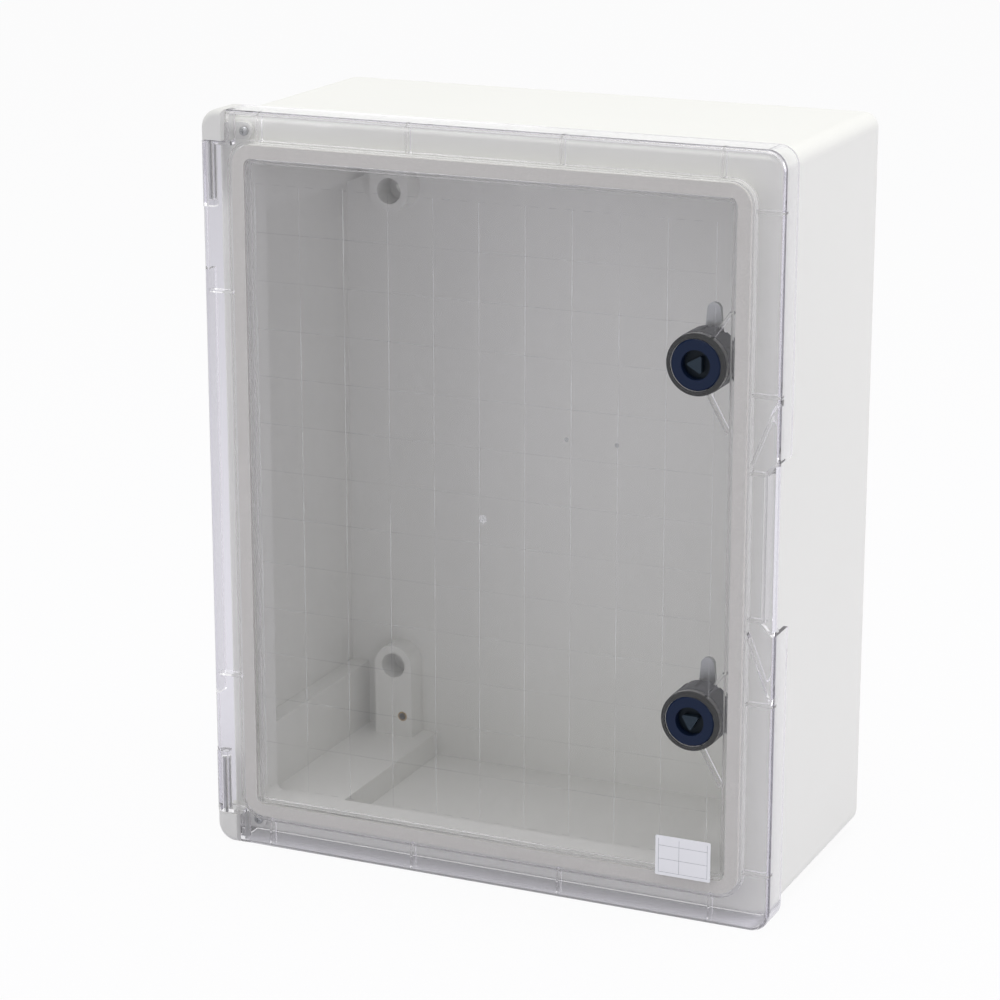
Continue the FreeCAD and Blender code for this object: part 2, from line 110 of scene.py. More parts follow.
def linear(code):
    """An sRGB hex colour as linear red, green and blue."""
    channels = [int(code[place:place + 2], 16) / 255 for place in (0, 2, 4)]
    return [c / 12.92 if c <= 0.04045 else ((c + 0.055) / 1.055) ** 2.4 for c in channels]


def rgba(colour):
    return (*colour, 1.0)


def size_value(name, description, default):
    return FloatProperty(name=name, description=description, default=default, subtype="DISTANCE", min=0.0)


def share_value(name, description, default):
    return FloatProperty(name=name, description=description, default=default, subtype="FACTOR",
                         min=0.0, max=1.0)


def power_value(name, description, default):
    return FloatProperty(name=name, description=description, default=default, unit="POWER", min=0.0)


def colour_value(name, description, code):
    return FloatVectorProperty(name=name, description=description, default=linear(code),
                               subtype="COLOR", size=3, min=0.0, max=1.0)


# Sizes and colours that a user would change

class TubSettings(bpy.types.PropertyGroup):
    colour: colour_value("Moulding", "Light grey of the moulded tub", "E9E9E5")
    shade: colour_value("Flow shade", "Slightly darker tone of the moulding's slow cloud", "E5E5E1")
    hinge: colour_value("Hinge block", "Slightly darker grey of the corner hinge blocks", "DCDCD9")
    hinge_shade: colour_value("Hinge shade", "Slow cloud of the hinge blocks", "DADAD7")
    grain: size_value("Grain", "Width of one grain of the matt tool finish", 1.1 * MM)
    cloud: size_value("Cloud", "Width of the slow colour cloud", 140 * MM)


class DoorSettings(bpy.types.PropertyGroup):
    colour: colour_value("Clear plastic", "Faint tint that one surface gives the light", "FDFDFD")
    lamp_colour: colour_value("Light let through", "What one surface passes of the lamps' light", "FCFCFC")
    depth_colour: colour_value("Depth", "Lilac grey that light takes on as it runs along the plastic",
                               "C8C5CF")
    density: FloatProperty(name="Density", description="How soon light fades inside the plastic, per metre",
                           default=25.0, min=0.0)
    ripple: size_value("Ripple", "Width of the slow waves of a moulded clear plate", 55 * MM)
    wave: size_value("Wave", "Width of the finer waves where the plastic flowed", 16 * MM)


class WindowSettings(bpy.types.PropertyGroup):
    pitch: size_value("Line pitch", "Spacing of the cutting lines", 31.5 * MM)
    columns: IntProperty(name="Columns", description="Squares across the window", default=10, min=1)
    rows: IntProperty(name="Rows", description="Squares up the window", default=13, min=1)
    side_inset: size_value("Side inset", "From the door's hinge edge to the first line", 38 * MM)
    foot_inset: size_value("Foot inset", "From the door's lower edge to the first line", 44.5 * MM)
    line: size_value("Line width", "Width of one moulded line", 0.5 * MM)
    proud: size_value("Line height", "How far a line stands off the door's inner face", 0.15 * MM)
    dash: size_value("Dash", "Length of one dash of the upper and lower line", 6 * MM)
    lock_clearance: size_value("Lock clearance", "Radius kept clear round each lock", 20.5 * MM)
    # Painted highlight on the upright lines and the gate mark, painted shade on the cross lines and ejector
    # marks
    bright: colour_value("Upright line", "Upright lines and the gate mark catch the lamps' light", "F6F7F9")
    dull: colour_value("Cross line", "Lines across the window face away from the lamps", "8E9196")
    fade: size_value("Fade", "Width of the patches in which a line fades in and out", 40 * MM)
    painted_highlight_cover: share_value("Upright cover", "Most that an upright line covers what is behind it", 0.24)
    painted_shade_cover: share_value("Cross cover", "Most that a cross line covers what is behind it", 0.10)
    gate: size_value("Gate mark", "Width of the moulding's gate mark at the door's middle", 5.5 * MM)
    pin: size_value("Ejector mark", "Width of an ejector mark", 3 * MM)
    first_pin: size_value("First mark", "From the door's hinge edge to the first ejector mark", 255.5 * MM)
    second_pin: size_value("Second mark", "From the door's hinge edge to the second one", 289.5 * MM)
    pin_rise: size_value("Mark height", "From the door's lower edge to the ejector marks", 308.5 * MM)
    mark_height: size_value("Mark relief", "How far a mark stands off the inner face", 0.4 * MM)
    haze: size_value("Haze", "Width of one speck of the haze on a mark", 1.5 * MM)


class GasketSettings(bpy.types.PropertyGroup):
    colour: colour_value("Foam skin", "Beige grey of the poured foam", "DBD9D4")
    cell: size_value("Cell", "Width of one foam cell under the skin", 0.9 * MM)


class LockSettings(bpy.types.PropertyGroup):
    ring: colour_value("Housing", "Dark blue of the lock's moulded housing", "12203A")
    key: colour_value("Key post", "Slate tone of the raised key post", "28343F")
    # The well's near black, and the turn of the post's tone into it with depth, are painted shade
    well: colour_value("Key well", "Near black of the disc behind the post", "05070B")
    nut: colour_value("Sleeve nut", "Charcoal of the nut behind the door", "1B1E26")
    post: size_value("Post height", "How far the key post stands out of its well", 5.3 * MM)
    painted_shade_start: size_value("Fade start", "How far before the well the post's tone starts to turn", 1.2 * MM)
    fade: size_value("Fade", "Depth over which the post's tone turns into the well's", 3 * MM)
    grain: size_value("Grain", "Width of one grain of the moulding", 0.5 * MM)


class LabelSettings(bpy.types.PropertyGroup):
    film: colour_value("Film", "White of the label film", "F1F2F5")
    rule: colour_value("Rule", "Grey of the printed table rules", "9A9DA2")
    line: size_value("Rule width", "Width of a printed rule", 0.25 * MM)
    margin: size_value("Margin", "Clear edge round the printed table", 2.2 * MM)
    row: share_value("Row", "Share of the table's height that one row takes, counted from its foot", 0.4)
    column: share_value("Column", "Share of the table's width that its first column takes", 0.42)


class FixingSettings(bpy.types.PropertyGroup):
    zinc: colour_value("Zinc", "Dull zinc plating of screws, washers and cams", "AEB0B2")
    pin: colour_value("Hinge pin", "Ground stainless steel", "BDBEBE")
    insert: colour_value("Insert", "Turned brass of the threaded inserts", "B9975A")
    rubber: colour_value("Rubber", "Black seal rubber", "1B1C1E")
    head: size_value("Screw head", "Height of a hinge screw's head", 2 * MM)
    shank: size_value("Screw shank", "Diameter of a hinge screw's shank", 3.5 * MM)
    recess: size_value("Cross recess", "Reach of each arm of the screw's cross recess", 1.9 * MM)
    slot: size_value("Recess width", "Width of the arms of the cross recess", 0.75 * MM)
    grinding: size_value("Grinding", "Width of a grinding mark on a hinge pin", 0.6 * MM)
    tumbling: size_value("Tumbling", "Width of a tumbling mark on the zinc-plated parts", 0.8 * MM)
    turning: size_value("Turning", "Width of a turning mark on an insert", 0.5 * MM)
    bloom: size_value("Bloom", "Width of one patch of the bloom on a seal", 3 * MM)


class StageSettings(bpy.types.PropertyGroup):
    floor: colour_value("Floor", "Pale lilac grey, which lights the object from below", "DDDBE5")
    backdrop: colour_value("Backdrop", "White that the camera and reflections see", "FFFFFF")
    shadow: share_value("Shadow", "Share of the floor's own shading that the camera sees", 0.06)
    shade_through: share_value("Shade through glass",
                               "Share of the floor's own shading that shows through the door", 0.85)
    reach: size_value("Floor reach", "Half the width of the floor", 8.0)
    grain: size_value("Floor grain", "Width of one grain of the floor's paint", 4 * MM)
    daylight: FloatProperty(name="Fill", description="Strength of the even light all round",
                            default=0.56, min=0.0)
    key: power_value("Key", "Power of the large soft lamp at the front left", 8.0)
    top: power_value("Top", "Power of the large soft lamp overhead", 47.0)
    side: power_value("Side", "Power of the large soft lamp at the lock side", 21.5)
    lens: FloatProperty(name="Lens", description="Focal length in millimetres", default=116.46,
                        min=1.0, unit="CAMERA")
    place: FloatVectorProperty(name="Camera place", description="Where the camera stands",
                               default=(0.822, -1.994, 0.576), subtype="TRANSLATION", size=3)
    turn: FloatProperty(name="Camera turn", description="Turn to the left from straight on",
                        default=math.radians(24.28), subtype="ANGLE")
    tilt: FloatProperty(name="Camera tilt", description="Tilt below the horizon",
                        default=math.radians(15.92), subtype="ANGLE")


SETTINGS = {
    "enclosure_tub": TubSettings,
    "enclosure_door": DoorSettings,
    "enclosure_window": WindowSettings,
    "enclosure_gasket": GasketSettings,
    "enclosure_locks": LockSettings,
    "enclosure_label": LabelSettings,
    "enclosure_fixings": FixingSettings,
    "enclosure_stage": StageSettings,
}


# Nodes, materials and pieces

def add_node(material, kind, inputs=None, **settings):
    """Adds a node, sets its properties, and fills its inputs with values or links from sockets."""
    tree = material.node_tree
    node = tree.nodes.new(kind)
    for name, value in settings.items():
        setattr(node, name, value)
    for name, value in (inputs or {}).items():
        socket = node.inputs[name]
        if isinstance(value, bpy.types.NodeSocket):
            tree.links.new(value, socket)
        else:
            socket.default_value = value
    return node


def new_material(name):
    material = bpy.data.materials.new(name)
    material.use_nodes = True
    material.node_tree.nodes.clear()
    return material


def dress(name, material):
    """Gives a CAD node its material."""
    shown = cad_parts[name]
    if not shown.material_slots:
        shown.data.materials.append(material)
    for slot in shown.material_slots:
        slot.material = material


def add_piece(name, mesh, material, body):
    """A piece of the scene's own that rides on a body."""
    mesh.materials.append(material)
    piece = bpy.data.objects.new(name, mesh)
    bpy.context.scene.collection.objects.link(piece)
    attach(piece, body)
    return piece


def mesh_from(shape, name):
    """A mesh with outward normals from a finished bmesh."""
    bmesh.ops.recalc_face_normals(shape, faces=shape.faces)
    mesh = bpy.data.meshes.new(name)
    shape.to_mesh(mesh)
    shape.free()
    return mesh


def bar(shape, start, end, across, out):
    """Adds a bar with a flat foot, sloped sides and a narrower top to a bmesh.

    It runs from start to end. Across is half its width, and out is how far it stands off its foot.
    """
    ends = []
    for point in (start, end):
        ring = [point - across, point + across,
                point + LINE_TOP * across + out, point - LINE_TOP * across + out]
        ends.append([shape.verts.new(corner) for corner in ring])
    first, last = ends
    shape.faces.new(first)
    shape.faces.new(last[::-1])
    for side in range(4):
        following = (side + 1) % 4
        shape.faces.new((first[side], last[side], last[following], first[following]))


def turned(shape, centre, out, profile, segments=48):
    """Adds a turned form to a bmesh, from (radius, height) steps along its axis, out from a centre."""
    facing = out.to_track_quat("Z", "Y")
    rings = []
    for radius, height in profile:
        ring = []
        for step in range(segments):
            angle = 2 * math.pi * step / segments
            corner = Vector((radius * math.cos(angle), radius * math.sin(angle), height))
            ring.append(shape.verts.new(centre + facing @ corner))
        rings.append(ring)
    for low, high in zip(rings, rings[1:]):
        for step in range(segments):
            following = (step + 1) % segments
            shape.faces.new((low[step], low[following], high[following], high[step]))
    shape.faces.new(rings[-1])
    shape.faces.new(rings[0][::-1])


# Materials

def matt_grey_polyester(name, settings, colour, shade):
    """Glass-fibre reinforced thermoplastic polyester, moulded in a matt tool.

    A fine eroded grain gives it a soft broad sheen, and the fibres leave a slow, hardly visible
    cloud in the grey. The grain is drawn coarser than the real 0.3 mm so that it can show.
    """
    material = new_material(name)
    place = add_node(material, "ShaderNodeTexCoord").outputs["Object"]
    cloud = add_node(material, "ShaderNodeTexNoise",
                     {"Vector": place, "Scale": 1 / settings.cloud, "Detail": 3.0, "Roughness": 0.45})
    grain = add_node(material, "ShaderNodeTexNoise",
                     {"Vector": place, "Scale": 1 / settings.grain, "Detail": 3.0, "Roughness": 0.6})
    tone = add_node(material, "ShaderNodeMix",
                    {FACTOR: cloud.outputs["Fac"], FIRST_COLOUR: rgba(colour),
                     SECOND_COLOUR: rgba(shade)}, data_type="RGBA")
    sheen = add_node(material, "ShaderNodeMapRange",
                     {"Value": grain.outputs["Fac"], "To Min": 0.42, "To Max": 0.56})
    relief = add_node(material, "ShaderNodeBump",
                      {"Height": grain.outputs["Fac"], "Strength": 0.05, "Distance": 0.05 * MM})
    plastic = add_node(material, "ShaderNodeBsdfPrincipled",
                       {"Base Color": tone.outputs[MIXED], "Roughness": sheen.outputs["Result"],
                        "IOR": 1.52, "Normal": relief.outputs["Normal"]})
    add_node(material, "ShaderNodeOutputMaterial", {"Surface": plastic.outputs["BSDF"]})
    return material


def clear_polycarbonate(settings):
    """Polished injection-moulded polycarbonate.

    The plate is nearly flat, but slow and fine waves from its flow bend what shows through and break
    up its highlights. Light that runs along the plastic, in the skirt and the ribs, turns lilac grey.
    Lamps shine through the door, so that the tub behind it is lit.
    """
    material = new_material("clear_moulded_polycarbonate")
    place = add_node(material, "ShaderNodeTexCoord").outputs["Object"]
    ripple = add_node(material, "ShaderNodeTexNoise",
                      {"Vector": place, "Scale": 1 / settings.ripple, "Detail": 1.0, "Roughness": 0.4})
    wave = add_node(material, "ShaderNodeTexNoise",
                    {"Vector": place, "Scale": 1 / settings.wave, "Detail": 1.0, "Roughness": 0.4})
    slow = add_node(material, "ShaderNodeBump",
                    {"Height": ripple.outputs["Fac"], "Strength": 0.3, "Distance": 0.5 * MM})
    fine = add_node(material, "ShaderNodeBump",
                    {"Height": wave.outputs["Fac"], "Strength": 0.08, "Distance": 0.1 * MM,
                     "Normal": slow.outputs["Normal"]})
    glass = add_node(material, "ShaderNodeBsdfPrincipled",
                     {"Base Color": rgba(settings.colour), "Roughness": 0.03, "IOR": 1.585,
                      "Transmission Weight": 1.0, "Normal": fine.outputs["Normal"]})
    passing = add_node(material, "ShaderNodeBsdfTransparent", {"Color": rgba(settings.lamp_colour)})
    edge = add_node(material, "ShaderNodeVolumeAbsorption",
                    {"Color": rgba(settings.depth_colour), "Density": settings.density})
    path = add_node(material, "ShaderNodeLightPath")
    lit_through = add_node(material, "ShaderNodeMixShader",
                           {0: path.outputs["Is Diffuse Ray"], 1: glass.outputs["BSDF"],
                            2: passing.outputs["BSDF"]})
    either = add_node(material, "ShaderNodeMixShader",
                      {0: path.outputs["Is Shadow Ray"], 1: lit_through.outputs["Shader"],
                       2: passing.outputs["BSDF"]})
    add_node(material, "ShaderNodeOutputMaterial",
             {"Surface": either.outputs["Shader"], "Volume": edge.outputs["Volume"]})
    return material


def moulded_line(name, settings, colour, cover_most):
    """A line moulded into the window's inner face.

    Its colour is painted light: a painted highlight on the uprights and painted shade on the cross lines.
    Its sloped sides scatter a little light, so that it reads as a thin thread that hardly covers
    what is behind it, and fades in and out along its length.
    """
    material = new_material(name)
    place = add_node(material, "ShaderNodeTexCoord").outputs["Object"]
    patch = add_node(material, "ShaderNodeTexNoise",
                     {"Vector": place, "Scale": 1 / settings.fade, "Detail": 2.0})
    cover = add_node(material, "ShaderNodeMapRange",
                     {"Value": patch.outputs["Fac"], "From Min": 0.35, "From Max": 0.65,
                      "To Min": 0.02, "To Max": cover_most})
    line = add_node(material, "ShaderNodeBsdfPrincipled",
                    {"Base Color": rgba(colour), "Roughness": 0.3, "IOR": 1.585,
                     "Alpha": cover.outputs["Result"]})
    add_node(material, "ShaderNodeOutputMaterial", {"Surface": line.outputs["BSDF"]})
    return material


def moulded_mark(name, settings, colour):
    """A gate or ejector mark of the clear plastic, which the tool has left hazed in fine specks.

    Its colour is painted light: a painted highlight on the gate mark, painted shade on the ejector marks.
    """
    material = new_material(name)
    place = add_node(material, "ShaderNodeTexCoord").outputs["Object"]
    haze = add_node(material, "ShaderNodeTexNoise",
                    {"Vector": place, "Scale": 1 / settings.haze, "Detail": 3.0})
    cover = add_node(material, "ShaderNodeMapRange",
                     {"Value": haze.outputs["Fac"], "To Min": 0.1, "To Max": 0.45})
    mark = add_node(material, "ShaderNodeBsdfPrincipled",
                    {"Base Color": rgba(colour), "Roughness": 0.2, "IOR": 1.585,
                     "Alpha": cover.outputs["Result"]})
    add_node(material, "ShaderNodeOutputMaterial", {"Surface": mark.outputs["BSDF"]})
    return material


def poured_foam(settings):
    """Closed-cell polyurethane foam poured in the channel: a dull skin, pitted by its cells."""
    material = new_material("poured_polyurethane_foam")
    place = add_node(material, "ShaderNodeTexCoord").outputs["Object"]
    cells = add_node(material, "ShaderNodeTexVoronoi", {"Vector": place, "Scale": 1 / settings.cell})
    tone = add_node(material, "ShaderNodeMapRange",
                    {"Value": cells.outputs["Distance"], "To Min": 0.9, "To Max": 1.04})
    skin = add_node(material, "ShaderNodeMix",
                    {FACTOR: 1.0, FIRST_COLOUR: rgba(settings.colour),
                     SECOND_COLOUR: tone.outputs["Result"]}, data_type="RGBA", blend_type="MULTIPLY")
    relief = add_node(material, "ShaderNodeBump",
                      {"Height": cells.outputs["Distance"], "Strength": 0.4, "Distance": 0.15 * MM})
    foam = add_node(material, "ShaderNodeBsdfPrincipled",
                    {"Base Color": skin.outputs[MIXED], "Roughness": 0.85, "IOR": 1.45,
                     "Normal": relief.outputs["Normal"]})
    add_node(material, "ShaderNodeOutputMaterial", {"Surface": foam.outputs["BSDF"]})
    return material


def moulded_polyamide(name, settings, tint, gloss):
    """Moulded nylon, as locks are made of: dense colour, a soft gloss and a faint grain."""
    material = new_material(name)
    place = add_node(material, "ShaderNodeTexCoord").outputs["Object"]
    grain = add_node(material, "ShaderNodeTexNoise",
                     {"Vector": place, "Scale": 1 / settings.grain, "Detail": 2.0})
    tone = add_node(material, "ShaderNodeMapRange",
                    {"Value": grain.outputs["Fac"], "To Min": 0.85, "To Max": 1.15})
    body = add_node(material, "ShaderNodeMix",
                    {FACTOR: 1.0, FIRST_COLOUR: rgba(tint), SECOND_COLOUR: tone.outputs["Result"]},
                    data_type="RGBA", blend_type="MULTIPLY")
    relief = add_node(material, "ShaderNodeBump",
                      {"Height": grain.outputs["Fac"], "Strength": 0.3, "Distance": 0.04 * MM})
    nylon = add_node(material, "ShaderNodeBsdfPrincipled",
                     {"Base Color": body.outputs[MIXED], "Roughness": gloss, "IOR": 1.53,
                      "Specular IOR Level": 0.15, "Normal": relief.outputs["Normal"]})
    add_node(material, "ShaderNodeOutputMaterial", {"Surface": nylon.outputs["BSDF"]})
    return material


def key_polyamide(settings, well_depth):
    """The turning core's nylon: a slate key post, lighter than the well, and painted shade below it.

    With depth the post's tone turns into the well's near black, which is painted shade.
    """
    material = new_material("slate_key_polyamide")
    place = add_node(material, "ShaderNodeTexCoord").outputs["Object"]
    depth = add_node(material, "ShaderNodeSeparateXYZ", {"Vector": place}).outputs["Y"]
    # Painted shade: the post's slate darkens with depth to the well's near black
    start = well_depth - settings.painted_shade_start
    painted_shade_with_depth = add_node(material, "ShaderNodeMapRange",
                    {"Value": depth, "From Min": start, "From Max": start + settings.fade})
    tone = add_node(material, "ShaderNodeMix",
                    {FACTOR: painted_shade_with_depth.outputs["Result"], FIRST_COLOUR: rgba(settings.key),
                     SECOND_COLOUR: rgba(settings.well)}, data_type="RGBA")
    grain = add_node(material, "ShaderNodeTexNoise",
                     {"Vector": place, "Scale": 1 / settings.grain, "Detail": 2.0})
    relief = add_node(material, "ShaderNodeBump",
                      {"Height": grain.outputs["Fac"], "Strength": 0.3, "Distance": 0.04 * MM})
    nylon = add_node(material, "ShaderNodeBsdfPrincipled",
                     {"Base Color": tone.outputs[MIXED], "Roughness": 0.45, "IOR": 1.53,
                      "Specular IOR Level": 0.15, "Normal": relief.outputs["Normal"]})
    add_node(material, "ShaderNodeOutputMaterial", {"Surface": nylon.outputs["BSDF"]})
    return material


def ruled_label_film(settings, low, high):
    """White polyester label film with a blank printed table of thin grey rules."""
    material = new_material("ruled_label_film")
    place = add_node(material, "ShaderNodeTexCoord").outputs["Object"]
    axes = add_node(material, "ShaderNodeSeparateXYZ", {"Vector": place})
    width = high.x - low.x - 2 * settings.margin
    height = high.z - low.z - 2 * settings.margin
    half = settings.line / 2
    from_left = add_node(material, "ShaderNodeMath",
                         {0: axes.outputs["X"], 1: low.x + settings.margin}, operation="SUBTRACT")
    from_foot = add_node(material, "ShaderNodeMath",
                         {0: axes.outputs["Z"], 1: low.z + settings.margin}, operation="SUBTRACT")
    off_rule = add_node(material, "ShaderNodeMath",
                        {0: from_foot.outputs[0], 1: settings.row * height / 2}, operation="PINGPONG")
    ink = add_node(material, "ShaderNodeMath", {0: off_rule.outputs[0], 1: half}, operation="LESS_THAN")
    for line in (0.0, settings.column * width, width):
        upright = add_node(material, "ShaderNodeMath",
                           {0: from_left.outputs[0], 1: line, 2: half}, operation="COMPARE")
        ink = add_node(material, "ShaderNodeMath",
                       {0: ink.outputs[0], 1: upright.outputs[0]}, operation="MAXIMUM")
    for way, span in ((from_left, width), (from_foot, height)):
        within = add_node(material, "ShaderNodeMath",
                          {0: way.outputs[0], 1: span / 2, 2: span / 2 + half}, operation="COMPARE")
        ink = add_node(material, "ShaderNodeMath",
                       {0: ink.outputs[0], 1: within.outputs[0]}, operation="MULTIPLY")
    tone = add_node(material, "ShaderNodeMix",
                    {FACTOR: ink.outputs[0], FIRST_COLOUR: rgba(settings.film),
                     SECOND_COLOUR: rgba(settings.rule)}, data_type="RGBA")
    film = add_node(material, "ShaderNodeBsdfPrincipled",
                    {"Base Color": tone.outputs[MIXED], "Roughness": 0.35, "IOR": 1.5})
    add_node(material, "ShaderNodeOutputMaterial", {"Surface": film.outputs["BSDF"]})
    return material


def metal(name, colour, roughness, mark):
    """A metal whose fine grinding, tumbling or turning marks break up its reflections.

    The marks are drawn coarser than the real ones, of about 0.1 mm, so that they can show.
    """
    material = new_material(name)
    place = add_node(material, "ShaderNodeTexCoord").outputs["Object"]
    marks = add_node(material, "ShaderNodeTexNoise", {"Vector": place, "Scale": 1 / mark, "Detail": 4.0})
    sheen = add_node(material, "ShaderNodeMapRange",
                     {"Value": marks.outputs["Fac"], "To Min": roughness - 0.1, "To Max": roughness + 0.12})
    relief = add_node(material, "ShaderNodeBump",
                      {"Height": marks.outputs["Fac"], "Strength": 0.2, "Distance": 0.02 * MM})
    finish = add_node(material, "ShaderNodeBsdfPrincipled",
                      {"Base Color": rgba(colour), "Metallic": 1.0,
                       "Roughness": sheen.outputs["Result"], "Normal": relief.outputs["Normal"]})
    add_node(material, "ShaderNodeOutputMaterial", {"Surface": finish.outputs["BSDF"]})
    return material


def seal_rubber(settings):
    """Nitrile rubber of the lock's seals: black and dull, with a faint bloom that varies its sheen."""
    material = new_material("black_nitrile_rubber")
    place = add_node(material, "ShaderNodeTexCoord").outputs["Object"]
    bloom = add_node(material, "ShaderNodeTexNoise",
                     {"Vector": place, "Scale": 1 / settings.bloom, "Detail": 3.0})
    dull = add_node(material, "ShaderNodeMapRange",
                    {"Value": bloom.outputs["Fac"], "To Min": 0.55, "To Max": 0.75})
    rubber = add_node(material, "ShaderNodeBsdfPrincipled",
                      {"Base Color": rgba(settings.rubber), "Roughness": dull.outputs["Result"],
                       "IOR": 1.52})
    add_node(material, "ShaderNodeOutputMaterial", {"Surface": rubber.outputs["BSDF"]})
    return material


# Pieces of the scene's own

def lock_place(side):
    """The centre of a lock's face."""
    low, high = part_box(side + "_lock_housing")
    return Vector(((low.x + high.x) / 2, low.y, (low.z + high.z) / 2))


def clear_spans(start, end, offset, across_places, radius):
    """The parts of a line from start to end that keep clear of round places.

    Each place is (along, across), and the line lies at one offset across.
    """
    spans = [(start, end)]
    for along, across in across_places:
        reach = radius * radius - (offset - across) ** 2
        if reach <= 0:
            continue
        half = math.sqrt(reach)
        kept = []
        for first, last in spans:
            kept += [(first, min(last, along - half)), (max(first, along + half), last)]
        spans = [(first, last) for first, last in kept if last > first]
    return spans


def window_lines(settings):
    """The uprights and the cross lines of the cutting grid, whose top and foot lines are dashed."""
    left = door_low.x + settings.side_inset
    foot = door_low.z + settings.foot_inset
    right = left + settings.columns * settings.pitch
    head = foot + settings.rows * settings.pitch
    locks = [lock_place(side) for side in LOCK_SIDES]
    upright_locks = [(place.z, place.x) for place in locks]
    level_locks = [(place.x, place.z) for place in locks]
    uprights = bmesh.new()
    crossing = bmesh.new()
    face = DOOR_INNER_FACE + AIR_GAP
    out = INTO_TUB * settings.proud
    for column in range(settings.columns + 1):
        x = left + column * settings.pitch
        across = Vector((settings.line / 2, 0, 0))
        for first, last in clear_spans(foot, head, x, upright_locks, settings.lock_clearance):
            bar(uprights, Vector((x, face, first)), Vector((x, face, last)), across, out)
    for row in range(settings.rows + 1):
        z = foot + row * settings.pitch
        across = Vector((0, 0, settings.line / 2))
        if 0 < row < settings.rows:
            spans = clear_spans(left, right, z, level_locks, settings.lock_clearance)
        else:
            count = int((right - left) / (2 * settings.dash))
            spans = [(left + 2 * dash * settings.dash, left + (2 * dash + 1) * settings.dash)
                     for dash in range(count)]
        for first, last in spans:
            bar(crossing, Vector((first, face, z)), Vector((last, face, z)), across,
                CROSS_LINE_HEIGHT * out)
    return mesh_from(uprights, "window_uprights"), mesh_from(crossing, "window_cross_lines")


def screw_with_recess(settings, centre, radius, front, shoulder, shank_radius, end):
    """A pan-head screw along the depth, with a cross recess cut into its head."""
    height = shoulder - front
    shape = bmesh.new()
    foot = Vector((centre[0], shoulder, centre[1]))
    shank = [(shank_radius, shoulder - end), (shank_radius, 0.0)]
    head = [(share * radius, rise * height) for share, rise in PAN_HEAD]
    turned(shape, foot, TOWARDS_FRONT, shank + head)
    screw = bpy.data.objects.new("screw_blank", mesh_from(shape, "screw_blank"))
    cutter = bpy.data.objects.new("recess_cutter", recess_cutter(settings, foot, height))
    for part in (screw, cutter):
        bpy.context.scene.collection.objects.link(part)
    cut = screw.modifiers.new("recess", "BOOLEAN")
    cut.operation = "DIFFERENCE"
    cut.object = cutter
    bpy.context.view_layer.update()
    seen = screw.evaluated_get(bpy.context.evaluated_depsgraph_get())
    mesh = bpy.data.meshes.new_from_object(seen)
    for part in (screw, cutter):
        bpy.data.objects.remove(part)
    return mesh


def recess_cutter(settings, foot, height):
    """A tapered cross that starts above a screw's head and ends inside it."""
    shape = bmesh.new()
    rings = []
    for rise, share in RECESS_STEPS:
        ring = []
        for quarter in range(4):
            for along, across in ((settings.recess * share, -settings.slot / 2),
                                  (settings.recess * share, settings.slot / 2),
                                  (settings.slot / 2, settings.slot / 2)):
                angle = quarter * math.pi / 2
                x = along * math.cos(angle) - across * math.sin(angle)
                z = along * math.sin(angle) + across * math.cos(angle)
                ring.append(shape.verts.new(foot + Vector((x, -rise * height, z))))
        rings.append(ring)
    top, floor = rings
    shape.faces.new(top)
    shape.faces.new(floor[::-1])
    for corner in range(len(top)):
        following = (corner + 1) % len(top)
        shape.faces.new((top[corner], floor[corner], floor[following], top[following]))
    return mesh_from(shape, "recess_cutter")


def soft_lamp(name, place, size, target, power):
    """A square lamp that shines at a point."""
    lamp = bpy.data.lights.new(name, "AREA")
    lamp.shape = "SQUARE"
    lamp.size = size
    lamp.energy = power
    holder = bpy.data.objects.new(name, lamp)
    holder.location = place
    holder.rotation_euler = (target - Vector(place)).to_track_quat("-Z", "Y").to_euler()
    bpy.context.scene.collection.objects.link(holder)


def seen_directly(material):
    """1 for rays from the camera, from a reflection or through glass, and 0 for those that light things."""
    path = add_node(material, "ShaderNodeLightPath")
    seen = path.outputs["Is Camera Ray"]
    for kind in ("Is Glossy Ray", "Is Transmission Ray"):
        either = add_node(material, "ShaderNodeMath", {0: seen, 1: path.outputs[kind]}, operation="MAXIMUM")
        seen = either.outputs[0]
    return seen


def studio_floor(settings):
    """Matt painted board, shown as plain white with a small share of its own shading and shadow.

    More of that shading shows through the clear door, so that the door's foot stands off the white.
    """
    material = new_material("pale_painted_floor")
    place = add_node(material, "ShaderNodeTexCoord").outputs["Object"]
    grain = add_node(material, "ShaderNodeTexNoise",
                     {"Vector": place, "Scale": 1 / settings.grain, "Detail": 2.0})
    relief = add_node(material, "ShaderNodeBump",
                      {"Height": grain.outputs["Fac"], "Strength": 0.1, "Distance": 0.05 * MM})
    board = add_node(material, "ShaderNodeBsdfDiffuse",
                     {"Color": rgba(settings.floor), "Normal": relief.outputs["Normal"]})
    white = add_node(material, "ShaderNodeEmission", {"Color": rgba(settings.backdrop), "Strength": 1.0})
    path = add_node(material, "ShaderNodeLightPath")
    plain = add_node(material, "ShaderNodeMapRange",
                     {"Value": path.outputs["Is Transmission Ray"], "To Min": 1 - settings.shadow,
                      "To Max": 1 - settings.shade_through})
    share = add_node(material, "ShaderNodeMath",
                     {0: seen_directly(material), 1: plain.outputs["Result"]}, operation="MULTIPLY")
    mixed = add_node(material, "ShaderNodeMixShader",
                     {0: share.outputs[0], 1: board.outputs["BSDF"], 2: white.outputs["Emission"]})
    add_node(material, "ShaderNodeOutputMaterial", {"Surface": mixed.outputs["Shader"]})
    return material


